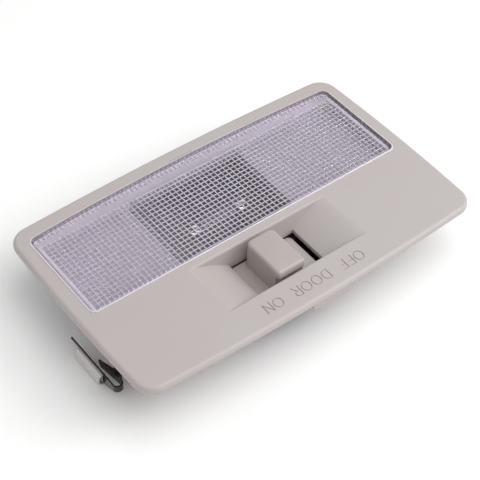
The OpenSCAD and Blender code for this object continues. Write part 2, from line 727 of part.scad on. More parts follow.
// Finger knob: a drafted block with a rounded top, on a foot plate that closes the slot
module switch_knob() {
    hollow = [knob_l / 2 - knob_t, knob_w / 2 - knob_t];
    near = knob_y - knob_w / 2;
    color("#C1BFBA") difference() {
        union() {
            loft(concat([knob_ring(-knob_draft, plate_top - 0.1), knob_ring(0, knob_top - knob_edge_r)],
                [for (a = [22.5:22.5:90])
                    knob_ring(knob_edge_r * (1 - cos(a)), knob_top - knob_edge_r * (1 - sin(a)))]));
            translate([knob_x, slot_y, 0]) prism(rounded(plate_l / 2, plate_w / 2, 2), plate_z, plate_top);
        }
        box([knob_x - hollow.x, knob_y - hollow.y + lip_d, plate_z - past],
            [knob_x + hollow.x, knob_y + hollow.y, knob_top - knob_t]);
        box([knob_x - knob_l, near - past, plate_top], [knob_x + knob_l, near + lip_d, knob_top - lip_h]);
    }
}

// Slider under the foot plate, with a spigot up into the knob, a groove for the contact and the detent's bore
module slider_carriage() {
    spigot = [knob_l / 2 - knob_t - fit, knob_w / 2 - knob_t - fit];
    bore_z = detent_z();
    color("#2E2E30") difference() {
        union() {
            box([knob_x - slider_l / 2, slot_y - slider_w / 2, slider_z],
                [knob_x + slider_l / 2, slot_y + slider_w / 2, plate_z]);
            box([knob_x - spigot.x, knob_y - spigot.y + lip_d, plate_z - 0.1],
                [knob_x + spigot.x, knob_y + spigot.y, plate_top + 5]);
        }
        box([knob_x - contact_w / 2 - fit, common_row - 2.4, slider_z - past],
            [knob_x + contact_w / 2 + fit, pad_row + 2.4, contact_roof]);
        translate([knob_x, slot_y - slider_w / 2 - past, bore_z]) rotate([-90, 0, 0])
            cylinder(h = detent_bore + past, d = ball_d + 0.1, $fn = round_fn);
    }
}

contact_w = 2.2;
detent_bore = 8;
contact_t = 0.3;
contact_roof = slider_z + 0.9;
function detent_z() = (contact_roof + plate_z) / 2 + 0.1;
ball_y = slot_y - slider_w / 2 + ball_d / 2 - slide_gap + 0.05;

// Springy bridge that joins the common rail to the ground or the door strip
module moving_contact() {
    foot = floor_z + strip_t + slide_gap;
    roof = contact_roof - 0.05 - contact_t;
    path = [[common_row - 1.8, foot + 0.7], [common_row, foot], [common_row + 2.4, roof],
            [pad_row - 2.4, roof], [pad_row, foot], [pad_row + 1.8, foot + 0.7]];
    lifted = [for (i = [len(path) - 1:-1:0]) path[i] + [0, contact_t]];
    color("#C08A4A") along_x(knob_x - contact_w / 2, knob_x + contact_w / 2) polygon(concat(path, lifted));
}

// Small compression spring behind the ball
module detent_spring() {
    per_turn = 10;
    start = ball_y + ball_d / 2 + spring_wire / 2;
    length = slot_y - slider_w / 2 + detent_bore - spring_wire / 2 - start;
    r = ball_d / 2 - spring_wire / 2 - 0.05;
    n = spring_turns * per_turn;
    path = [for (i = [0:n]) [r * cos(360 * i / per_turn), r * sin(360 * i / per_turn), length * i / n]];
    color("#9A9CA0") translate([knob_x, start, detent_z()]) rotate([-90, 0, 0]) wound_wire(path, spring_wire, 6);
}

module detent_ball() { color("#B4B6BA") translate([knob_x, ball_y, detent_z()]) sphere(d = ball_d, $fn = 32); }

// Folded spring clip: a foot under its post, a rising inner leaf, a round bend and an outer leaf with a barb
module spring_clip() {
    outer = -clip_x;
    bend_r = clip_t + clip_gap / 2;
    inner = outer + 2 * bend_r;
    low = clip_z - clip_w;
    start = clip_bend_y - 0.1;
    far = clip_bend_y + clip_l * 0.46;
    foot_w = clip_l * 0.32;
    barb_start = clip_bend_y + clip_l * 0.23;
    difference() {
        union() {
            translate([outer + bend_r, clip_bend_y, low]) linear_extrude(clip_w) difference() {
                circle(bend_r, $fn = round_fn);
                circle(bend_r - clip_t, $fn = round_fn);
                translate([-bend_r - 1, 0]) square([2 * bend_r + 2, bend_r + 1]);
            }
            intersection() {
                prism([[inner - clip_t, start], [inner, start], [inner - clip_lean, far],
                       [inner - clip_lean - clip_t, far]], low, foot_z);
                along_x(outer, inner + 1) polygon([
                    [start, low], [far - 1, low], [far, clip_z], [start + clip_l * 0.14, clip_z + clip_w * 0.8],
                    [start + clip_l * 0.13, foot_z], [start, foot_z]]);
            }
            box([inner - clip_t - 0.2, clip_post.y - foot_w / 2, foot_z - clip_t],
                [foot_w / 2 - clip_post.x, clip_post.y + foot_w / 2, foot_z]);
            along_x(outer, outer + clip_t) polygon([
                [start, low], [barb_start, clip_z - clip_reach], [barb_start, clip_z], [start, clip_z]]);
            box([outer, barb_start - 0.1, clip_z - 0.9], [outer + clip_t, clip_bend_y + clip_l, clip_z]);
            along_y(barb_start - 0.1, clip_bend_y + clip_l * 0.81) polygon(barb(outer));
        }
        translate([-clip_post.x, clip_post.y, low]) cylinder(h = foot_z, d = screw_d + 0.6, $fn = round_fn);
    }
}

// How far the barb reaches out from the outer leaf, and down from its top
clip_out = 2.1;
clip_reach = 5.4;

// Cross-section of the barb: the sheet runs out and down, over soft folds, and back in
function barb(x) =
    let (path = [for (p = [[0, 0.05], [0.07, 0.11], [0.71, 0.28], [0.81, 0.43], [1, 0.67], [1, 0.8], [0.3, 1]])
             [x - clip_out * p.x, clip_z - clip_reach * p.y]])
    concat(path, [for (i = [len(path) - 1:-1:0]) path[i] + [clip_t, i == 0 ? 0 : 0.15]]);

module spring_clip_left() { color("#A9A7A6") spring_clip(); }

module spring_clip_right() { color("#A9A7A6") mirror([1, 0, 0]) spring_clip(); }

// Screws from below through the clips' feet into their posts
module clip_screws() {
    color("#8E9094") for (side = [-1, 1]) translate([side * clip_post.x, clip_post.y, 0])
        screw(foot_z + clip_pilot - 0.3, foot_z - clip_t);
}

// Screws from below through the lamp body's lugs into the face plate's bosses
module body_screws() {
    color("#8E9094") for (side = [-1, 1]) translate([side * lug_x, lug_y, 0])
        screw(tub_z + body_pilot - 0.2, chamber_top - lug_t);
}

bezel();
lens();
reflector();
lamp_body();
bulb_glass();
bulb_cap_left();
bulb_cap_right();
bulb_filament();
feed_terminal();
common_terminal();
door_contact();
ground_contact();
switch_knob();
slider_carriage();
moving_contact();
detent_spring();
detent_ball();
spring_clip_left();
spring_clip_right();
clip_screws();
body_screws();
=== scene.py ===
"""Looks of a car dome light: finishes for every part, a finely prismed lens, a knob, sunk words and a studio.

Lengths are metres in the object's frame, and MM turns the makers' millimetres into them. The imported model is
the fixed frame, and everything here is fitted to it.
"""

import math

import bpy
import numpy as np
from mathutils import Matrix, Vector


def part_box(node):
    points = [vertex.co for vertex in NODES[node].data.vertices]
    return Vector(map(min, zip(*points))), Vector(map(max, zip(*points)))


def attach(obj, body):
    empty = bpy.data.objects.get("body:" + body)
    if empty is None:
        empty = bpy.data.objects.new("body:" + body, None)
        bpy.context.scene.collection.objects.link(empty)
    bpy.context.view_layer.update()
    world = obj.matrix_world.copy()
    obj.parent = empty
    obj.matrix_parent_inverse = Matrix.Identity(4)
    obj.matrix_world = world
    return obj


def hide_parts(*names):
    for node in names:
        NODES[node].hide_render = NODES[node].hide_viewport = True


bl_info = {
    "name": "Dome Light Looks",
    "version": (1, 0, 0),
    "blender": (4, 5, 0),
    "location": "View3D > Sidebar > Dome Light",
    "description": "Finishes, lens, switch knob and words, and studio for a car dome light",
    "category": "Object",
}

MM = 0.001

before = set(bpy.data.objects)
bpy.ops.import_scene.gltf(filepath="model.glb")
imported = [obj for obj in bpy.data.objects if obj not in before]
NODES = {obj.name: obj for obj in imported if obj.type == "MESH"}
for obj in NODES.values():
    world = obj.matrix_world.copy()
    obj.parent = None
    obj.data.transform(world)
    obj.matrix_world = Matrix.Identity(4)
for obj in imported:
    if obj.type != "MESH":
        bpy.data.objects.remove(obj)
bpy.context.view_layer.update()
LENS_LOW, LENS_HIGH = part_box("lens")
FACE_LOW, FACE_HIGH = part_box("bezel")

# Edges that turn by more than this stay sharp: on the face plate and the lens, and on the knob
SHARP_ANGLE = math.radians(32)
KNOB_SHARP_ANGLE = math.radians(40)
# A corner that is drawn in keeps at least this radius
LEAST_RADIUS = 0.4 * MM
# Angles, in degrees, of the points round a small and a large rounding
SMALL_ROUND = (0, 30, 60, 90)
LARGE_ROUND = (0, 18, 36, 54, 72, 90)
# Slack that keeps a cell's first point in that cell, and the least length to divide by
CELL_SLACK = 1e-6
LEAST_LENGTH = 1e-9


def linear(hex_colour):
    """An sRGB hex colour as linear red, green, blue and alpha."""
    channels = [int(hex_colour[i : i + 2], 16) / 255 for i in (1, 3, 5)]
    return tuple(c / 12.92 if c <= 0.04045 else ((c + 0.055) / 1.055) ** 2.4 for c in channels) + (1.0,)


def colour_property(name, description, hex_colour):
    """A colour that a user can change, kept in linear light."""
    return bpy.props.FloatVectorProperty(
        name=name, description=description, subtype="COLOR", size=4, min=0, max=1, default=linear(hex_colour)
    )


def length_property(name, description, millimetres):
    """A length that a user can change."""
    return bpy.props.FloatProperty(
        name=name, description=description, subtype="DISTANCE", unit="LENGTH", min=0, precision=5,
        default=millimetres * MM,
    )


def share_property(name, description, share, low=0, high=1):
    """A share that a user can change."""
    return bpy.props.FloatProperty(
        name=name, description=description, subtype="FACTOR", min=low, max=high, default=share
    )


def angle_property(name, description, degrees):
    """An angle that a user can change."""
    return bpy.props.FloatProperty(
        name=name, description=description, subtype="ANGLE", default=math.radians(degrees)
    )


def power_property(name, description, watts):
    """A lamp's power that a user can change."""
    return bpy.props.FloatProperty(name=name, description=description, unit="POWER", default=watts)


class DomeLensSettings(bpy.types.PropertyGroup):
    pitch: length_property("Prism pitch", "Side of one square prism", 2.0)
    depth: length_property("Prism depth", "Height of one prism", 0.4)
    wall: length_property("Wall", "Wall of the lens over the prisms", 2.2)
    skirt_wall: length_property("Skirt wall", "Wall of the skirt that drops into the frame", 1.4)
    corner_radius: length_property("Corner radius", "Corner radius of the lens", 3.0)
    bow: length_property("Bow", "How far the far edge bows outwards", 2.4)
    edge_radius: length_property("Edge radius", "Rounding of the top edge", 0.4)
    rib_depth: length_property("Rib depth", "Height of the ribs along the far edge", 0.4)
    groove_share: share_property("Groove share", "Share of a prism taken by its steep side", 0.1, 0.02, 0.4)
    shoulder: share_property("Shoulder", "Share of a prism's height on its steep side", 0.88, 0.1, 0.99)
    haze: share_property("Haze", "Share of light that the matt grooves between the prisms scatter", 0.85)
    tint: colour_property("Tint", "Colour of the clear plastic", "#F1EEF5")
    frost: colour_property("Frost", "Colour of the matt grooves between the prisms", "#DAD5DC")


class DomeWordSettings(bpy.types.PropertyGroup):
    height: length_property("Letter height", "Height of the capitals", 4.6)
    stroke: length_property("Stroke", "Width of the letters' strokes", 0.27)
    depth: length_property("Depth", "How deep the letters are sunk", 0.24)
    gap: length_property("Gap", "Gap between two letters", 0.75)
    baseline: length_property("Baseline", "Distance of the letters' feet from the near edge", 9.8)


class DomeKnobSettings(bpy.types.PropertyGroup):
    length: length_property("Length", "Size of the knob along its travel", 12.5)
    width: length_property("Width", "Size of the knob across its travel", 19.5)
    draft: length_property("Draft", "Spread of the knob from top to root, each side", 0.15)
    edge_radius: length_property("Edge radius", "Rounding of the top edge", 1.2)
    near_radius: length_property("Near corners", "Radius of the two near corners", 1.3)
    far_radius: length_property("Far corners", "Radius of the two far corners", 2.4)
    crown: length_property("Crown", "How far the middle of the top stands over its edge", 0.2)
    root_radius: length_property("Root radius", "Fillet between the knob and its foot plate", 0.7)
    lip_height: length_property("Lip height", "Height of the lip that hangs over the near face", 3.4)
    lip_depth: length_property("Lip depth", "How far the near face is set back under the lip", 1.6)
    plate: length_property("Foot plate", "Thickness of the foot plate", 1.5)
    wall: length_property("Wall", "Wall of the hollow knob", 1.8)


class DomeFinishSettings(bpy.types.PropertyGroup):
    face: colour_property("Face", "Colour of the face plate", "#B3A9A8")
    face_cool: colour_property("Face, cooler", "Second shade of the face plate", "#B2ADAB")
    knob: colour_property("Knob", "Colour of the knob", "#ADA5A2")
    # The tray's colour is painted darker than its pale plastic, as the shade under the lens
    tray: colour_property("Tray", "Colour of the pale tray under the lens", "#9B969B")
    # The housing's near-black colour is painted shade, for the dark inside the closed chamber
    housing: colour_property("Housing", "Colour of the rear moulding", "#281F33")
    edge_softness: length_property("Edge softness", "Radius at which the face plate's edges look round", 0.6)


class DomeStageSettings(bpy.types.PropertyGroup):
    azimuth: angle_property("Azimuth", "Camera's turn from straight in front to the left", 38.95)
    elevation: angle_property("Elevation", "Camera's height above the face", 47.3)
    roll: angle_property("Roll", "Camera's turn about its own axis", 1.72)
    distance: length_property("Distance", "From the camera to the point it looks at", 482.8)
    focal: bpy.props.FloatProperty(
        name="Focal length", description="Focal length on a 36 mm sensor, in millimetres", min=10,
        default=99.4,
    )
    key: power_property("Key light", "Power of the key light", 2.5)
    overhead: power_property("Overhead light", "Power of the light above", 3.8)
    surround: bpy.props.FloatProperty(
        name="Surround", description="Brightness of the white surround", default=0.6
    )


# Most of a noise texture's values lie between these two
NOISE_LOW, NOISE_HIGH = 0.3, 0.7
# Strength of the bump from a moulded grain, from a metal's streaks and from flow waves in plastic or glass
GRAIN_BUMP = 0.35
STREAK_BUMP = 0.25
WAVE_BUMP = 0.1
# Height of a metal's streaks and of the flow waves
FINE_HEIGHT = 0.01 * MM
# Roughness of clear plastic where it is fully matt
MATT_ROUGHNESS = 0.45
# The lens's attribute that says how matt it is, from 0 to 1
HAZE_ATTRIBUTE = "frosted"


def add(tree, kind, inputs=None, **settings):
    """Adds a node with its own settings, and fills its inputs with values or with links from sockets."""
    node = tree.nodes.new(kind)
    for name, value in settings.items():
        setattr(node, name, value)
    for name, value in (inputs or {}).items():
        socket = node.inputs[name]
        if isinstance(value, bpy.types.NodeSocket):
            tree.links.new(value, socket)
        else:
            socket.default_value = value
    return node


def per_metre(millimetres):
    """Scale of a texture node for a pattern whose features have this size, on coordinates in metres."""
    return 1 / (millimetres * MM)


def new_material(name):
    """An empty material with its node tree, and its coordinates on the object."""
    material = bpy.data.materials.new(name)
    material.use_nodes = True
    tree = material.node_tree
    tree.nodes.clear()
    place = add(tree, "ShaderNodeTexCoord").outputs["Object"]
    return material, tree, place


def blend_colours(tree, factor, first, second):
    """A mix of two colours, each a linear value or a socket, by a factor. The node's colours are 6 and 7."""
    return add(tree, "ShaderNodeMix", {"Factor": factor, 6: first, 7: second}, data_type="RGBA").outputs[2]


def spread(tree, value, low, high):
    """A noise value's middle range stretched to run from low to high."""
    return add(
        tree, "ShaderNodeMapRange",
        {"Value": value, "From Min": NOISE_LOW, "From Max": NOISE_HIGH, "To Min": low, "To Max": high},
    ).outputs["Result"]


def moulded_plastic(name, main, second, shade_mm, grain_mm, grain_depth_mm, gloss, ior, edge_mm):
    """Injection-moulded plastic: slow drift between two shades, a spark-eroded grain, and softened edges.

    The sizes are those of the drift's patches, of the grain and its depth, and the radius at which edges look
    rounded. gloss is the lowest and highest roughness, which changes in specks three times the grain's size.
    """
    material, tree, place = new_material(name)
    drift = add(
        tree, "ShaderNodeTexNoise", {"Vector": place, "Scale": per_metre(shade_mm), "Detail": 2.0}
    ).outputs["Fac"]
    grain = add(
        tree, "ShaderNodeTexVoronoi", {"Vector": place, "Scale": per_metre(grain_mm), "Randomness": 1.0}
    ).outputs["Distance"]
    speck = add(
        tree, "ShaderNodeTexNoise", {"Vector": place, "Scale": per_metre(grain_mm * 3), "Detail": 3.0}
    ).outputs["Fac"]
    colour = blend_colours(tree, spread(tree, drift, 0.0, 1.0), main, second)
    soft = add(tree, "ShaderNodeBevel", {"Radius": edge_mm * MM}, samples=6).outputs["Normal"]
    bump = add(
        tree, "ShaderNodeBump",
        {"Height": grain, "Strength": GRAIN_BUMP, "Distance": grain_depth_mm * MM, "Normal": soft},
    ).outputs["Normal"]
    shader = add(
        tree, "ShaderNodeBsdfPrincipled",
        {"Base Color": colour, "Roughness": spread(tree, speck, *gloss), "IOR": ior, "Normal": bump},
    )
    add(tree, "ShaderNodeOutputMaterial", {"Surface": shader.outputs["BSDF"]})
    return material


def rolled_metal(name, main, second, streak_mm, length_mm, gloss, edge_mm, painted_reflection=None):
    """Rolled or drawn metal: slow drift between two shades, and fine streaks along Y in roughness and bump.

    The sizes are a streak's width and length, and the radius at which edges look rounded. The last argument is
    a colour and two distances in millimetres from the middle along X: the metal turns to that colour between
    them, a painted reflection.
    """
    material, tree, place = new_material(name)
    stretched = add(
        tree, "ShaderNodeMapping",
        {"Vector": place, "Scale": (1.0, streak_mm / length_mm, 1.0)}, vector_type="POINT",
    ).outputs["Vector"]
    streaks = add(
        tree, "ShaderNodeTexNoise", {"Vector": stretched, "Scale": per_metre(streak_mm), "Detail": 3.0}
    ).outputs["Fac"]
    stains = add(
        tree, "ShaderNodeTexNoise", {"Vector": place, "Scale": per_metre(length_mm), "Detail": 2.0}
    ).outputs["Fac"]
    colour = blend_colours(tree, spread(tree, stains, 0.0, 1.0), main, second)
    # A painted reflection: a light band along X between the two distances
    if painted_reflection is not None:
        reflection_colour, start_mm, end_mm = painted_reflection
        across = add(tree, "ShaderNodeSeparateXYZ", {"Vector": place}).outputs["X"]
        out = add(tree, "ShaderNodeMath", {0: across}, operation="ABSOLUTE").outputs[0]
        share = add(
            tree, "ShaderNodeMapRange", {"Value": out, "From Min": start_mm * MM, "From Max": end_mm * MM}
        ).outputs["Result"]
        colour = blend_colours(tree, share, colour, reflection_colour)
    soft = add(tree, "ShaderNodeBevel", {"Radius": edge_mm * MM}, samples=4).outputs["Normal"]
    bump = add(
        tree, "ShaderNodeBump",
        {"Height": streaks, "Strength": STREAK_BUMP, "Distance": FINE_HEIGHT, "Normal": soft},
    ).outputs["Normal"]
    shader = add(
        tree, "ShaderNodeBsdfPrincipled",
        {"Base Color": colour, "Metallic": 1.0, "Roughness": spread(tree, streaks, *gloss), "Normal": bump},
    )
    add(tree, "ShaderNodeOutputMaterial", {"Surface": shader.outputs["BSDF"]})
    return material


def clear_moulding(name, tint, ior, wave_mm, gloss, frost=None, haze=0.0):
    """Clear moulded plastic or blown glass: faint flow waves, and lamp light passes straight through.

    With a frost colour, the piece's haze attribute turns the surface matt and scattering where it is 1.
    """
    material, tree, place = new_material(name)
    waves = add(
        tree, "ShaderNodeTexNoise", {"Vector": place, "Scale": per_metre(wave_mm), "Detail": 1.0}
    ).outputs["Fac"]
    bump = add(tree, "ShaderNodeBump", {"Height": waves, "Strength": WAVE_BUMP, "Distance": FINE_HEIGHT})
    shader = add(
        tree, "ShaderNodeBsdfPrincipled",
        {
            "Base Color": tint, "Roughness": spread(tree, waves, *gloss), "IOR": ior,
            "Transmission Weight": 1.0, "Normal": bump.outputs["Normal"],
        },
    )
    if frost is not None:
        frosted = add(tree, "ShaderNodeAttribute", attribute_name=HAZE_ATTRIBUTE).outputs["Fac"]
        clear = add(tree, "ShaderNodeMapRange", {"Value": frosted, "To Min": 1.0, "To Max": 1.0 - haze})
        matt = add(
            tree, "ShaderNodeMapRange", {"Value": frosted, "To Min": gloss[0], "To Max": MATT_ROUGHNESS}
        )
        tree.links.new(blend_colours(tree, frosted, tint, frost), shader.inputs["Base Color"])
        tree.links.new(clear.outputs["Result"], shader.inputs["Transmission Weight"])
        tree.links.new(matt.outputs["Result"], shader.inputs["Roughness"])
    open_way = add(tree, "ShaderNodeBsdfTransparent", {"Color": tint}).outputs["BSDF"]
    lamp_ray = add(tree, "ShaderNodeLightPath").outputs["Is Shadow Ray"]
    both = add(tree, "ShaderNodeMixShader", {"Fac": lamp_ray, 1: shader.outputs["BSDF"], 2: open_way})
    add(tree, "ShaderNodeOutputMaterial", {"Surface": both.outputs["Shader"]})
    return material


def dress(material, *nodes):
    """Gives the named parts one material in place of all their own."""
    for name in nodes:
        slots = NODES[name].data.materials
        slots.clear()
        slots.append(material)


def new_piece(name, points, faces, material, body, replaced=()):
    """A mesh object in place in the frame, with its finish, riding on a body."""
    mesh = bpy.data.meshes.new(name)
    mesh.from_pydata(points, [], faces)
    mesh.validate()
    mesh.update()
    mesh.materials.append(material)
    piece = bpy.data.objects.new(name, mesh)
    bpy.context.scene.collection.objects.link(piece)
    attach(piece, body)
    if replaced:
        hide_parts(*replaced)
    return piece


def grid_faces(index):
    """Quads between the neighbours of a two-dimensional array of point numbers."""
    corners = [index[:-1, :-1], index[:-1, 1:], index[1:, 1:], index[1:, :-1]]
    return np.stack(corners, axis=-1).reshape(-1, 4)


def ring_edge(grid):
    """The outer points of a two-dimensional array, once round, starting along its second axis."""
    return np.concatenate([grid[0, :-1], grid[:-1, -1], grid[-1, :0:-1], grid[:0:-1, 0]])


def arc(centre, radius, start, end, count=16):
    """Points of an arc by its angles in degrees."""
    angles = np.radians(np.linspace(start, end, count))
    return np.stack([centre[0] + radius[0] * np.cos(angles), centre[1] + radius[1] * np.sin(angles)], axis=-1)


# Under the lens: how far the prisms' roots lie below the wall, and the least margins round their field
ROOT_DROP = 0.2 * MM
SIDE_MARGIN = 0.4 * MM
NEAR_MARGIN = 0.8 * MM
FAR_MARGIN = 3.3 * MM
# Rows of points over the far margin, as shares of its width, and 1 for each row that has the ribs
BAND_ROWS = np.array([0.06, 0.6, 0.66, 0.93, 0.97])
BAND_RIBBED = np.array([0, 0, 1, 1, 0])
# The snap bead: height of its ridge above the skirt's foot, half its height, and its reach
BEAD_RIDGE = 1.4 * MM
BEAD_HALF = 0.6 * MM
BEAD_REACH = 0.3 * MM
# Width of the ring on the flat top in which the edge's haze, a painted highlight, ends
TOP_RING = 0.15 * MM

# Haze, as shares of the full one. A groove's haze ends over this share of a cell
GROOVE_FADE = 0.05
# Lines over the dark middle are weaker, and lines along X lose this much at the sides, from 22 to 30 mm out
MIDDLE_LINES = 0.75
CROSS_LOSS = 0.65
SIDE_START = 22 * MM
SIDE_RISE = 8 * MM
# The least haze rises over the far rows of prisms, and thinly over the sides, from 15 to 29 mm out
FAR_HAZE = 0.4
FAR_ROWS = 2.5
VEIL = 0.09
VEIL_START = 15 * MM
VEIL_RISE = 14 * MM
# The far band is even, and its ribs are clearer with hazy lines between them
BAND_HAZE = 0.5
RIB_CLEARING = 0.3
RIB_LINES = 0.7
# Ticks of the skirt: half the clear notch and its fade in cells, and their share on the near and left sides
NOTCH_HALF = 0.2
NOTCH_FADE = 0.1
FAINT_TICKS = 0.15
# Places on the square loop, from -1 to 1: beyond the first is a long edge, below the second a faint side
LONG_EDGE = 0.999
FAINT_SIDE = -0.9
# Haze where the underside meets the skirt and what a tick adds there, of the ticks ring by ring up to the
# start of the edge's rounding, and of the rounding itself, whose matt white paints a highlight line round the
# top edge
RIM_HAZE = 0.3
RIM_TICKS = 0.4
RING_TICKS = (0.3, 0.5, 0.7, 0.7, 0.8, 0.9)
EDGE_HIGHLIGHT_HAZE = 0.75


def lens_outline(square_x, square_y, inset, lens):
    """The lens's outline drawn in by an inset.

    A point of a square from -1 to 1 is stretched to the lens's half sizes, a point in a corner is drawn in
    along its radius to the corner's arc, and the far half is pushed out by a parabola.
    """
    centre_y = (LENS_LOW.y + LENS_HIGH.y - lens.bow) / 2
    half_x = (LENS_HIGH.x - LENS_LOW.x) / 2
    reach_x = half_x - inset
    reach_y = (LENS_HIGH.y - LENS_LOW.y - lens.bow) / 2 - inset
    radius = max(lens.corner_radius - inset, LEAST_RADIUS)
    x = square_x * reach_x
    y = square_y * reach_y
    over_x = np.maximum(np.abs(x) - reach_x + radius, 0)
    over_y = np.maximum(np.abs(y) - reach_y + radius, 0)
    far = np.hypot(over_x, over_y)
    share = np.where((over_x > 0) & (over_y > 0), radius / np.maximum(far, LEAST_LENGTH), 1)
    x = np.sign(x) * (np.abs(x) - over_x * (1 - share))
    y = np.sign(y) * (np.abs(y) - over_y * (1 - share))
    pushed = lens.bow * np.maximum(y / reach_y, 0) * (1 - (x / half_x) ** 2)
    return x, centre_y + y + pushed


def from_crown(place):
    """Distance from the middle of a cell, in cells."""
    return np.abs(place - np.floor(place + CELL_SLACK) - 0.5)


def cell_steps(cells, lens):
    """Places over a row of cells, in cells: each cell's edge and crown, and where its sides and haze end."""
    groove = lens.groove_share
    inside = np.array([0, groove, groove + GROOVE_FADE, 0.5, 1 - GROOVE_FADE - groove, 1 - groove])
    return np.append((np.arange(cells)[:, None] + inside).ravel(), cells)


def cell_profile(place, lens):
    """Height share over a cell: a steep rise to the shoulder, then a round crown up to 1 in the middle."""
    within = from_crown(place) * 2
    steep = np.clip((1 - within) / (2 * lens.groove_share), 0, 1) * lens.shoulder
    crown = (1 - lens.shoulder) * (1 - np.clip(within / (1 - 2 * lens.groove_share), 0, 1) ** 2)
    return steep + crown


def groove_mark(place, lens):
    """1 on the steep sides round a cell, falling to 0 just inside them."""
    within = 0.5 - from_crown(place)
    return np.clip((lens.groove_share + GROOVE_FADE - within) / GROOVE_FADE, 0, 1)


def tick_mark(place):
    """1 along a moulded edge, with a clear notch in the middle of each cell."""
    return 1 - np.clip((NOTCH_HALF - np.abs(place - np.floor(place) - 0.5)) / NOTCH_FADE, 0, 1)


def lens_haze(x, steps_x, steps_y, count_y, lens):
    """Haze of the points under the lens, row by row from the near side.

    It is 1 - (1 - a) * (1 - b), where a marks the grooves along Y and b, weaker at the sides, those along X.
    It is weaker over the middle, and nowhere less than the rise over the far rows and the veil over the
    sides. The band's rows follow.
    """
    mark_x = groove_mark(steps_x, lens)[None, :]
    mark_y = groove_mark(steps_y, lens)[:, None]
    side = np.clip((np.abs(x) - SIDE_START) / SIDE_RISE, 0, 1)[None, :]
    lines = 1 - (1 - mark_x) * (1 - mark_y * (1 - CROSS_LOSS * side))
    far = FAR_HAZE * np.clip((steps_y - count_y) / FAR_ROWS + 1, 0, 1)[:, None]
    veil = VEIL * np.clip((np.abs(x) - VEIL_START) / VEIL_RISE, 0, 1)[None, :]
    field = np.maximum(lines * (MIDDLE_LINES + (1 - MIDDLE_LINES) * side), np.maximum(far, veil))
    band = BAND_HAZE + BAND_RIBBED[:, None] * (RIB_LINES * mark_x - RIB_CLEARING)
    return np.vstack([field, band])


